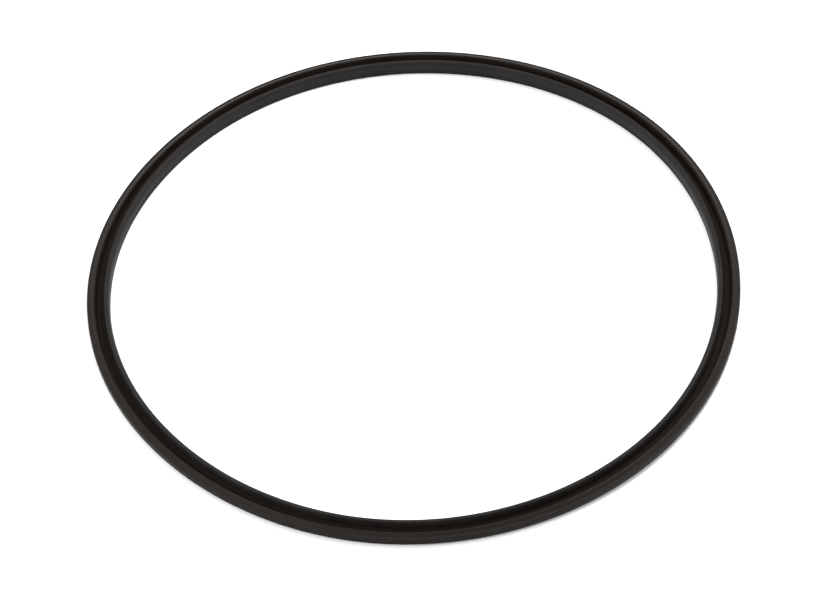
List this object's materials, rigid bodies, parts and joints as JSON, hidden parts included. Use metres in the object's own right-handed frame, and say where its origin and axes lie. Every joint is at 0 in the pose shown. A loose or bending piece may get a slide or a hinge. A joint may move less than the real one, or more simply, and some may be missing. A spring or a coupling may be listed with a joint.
{
  "type": "pressure cooker sealing ring",
  "caption": "Flat black rubber ring with a lipped groove in its top face, which seals a pressure cooker's lid to its pot.",
  "frame": {"origin": "centre of the ring, on the plane of its flat underside", "axes": "+Z is the ring's axis, from the flat underside towards the grooved face. The ring is round, so +X and +Y are free."},
  "size_m": [0.2366, 0.2366, 0.0056],
  "materials": {
    "black_rubber": "semi-matt moulded black rubber, with a soft sheen on its rounded edges"
  },
  "bodies": {
    "root": {"sealing_ring": "black_rubber"}
  },
  "joints": []
}
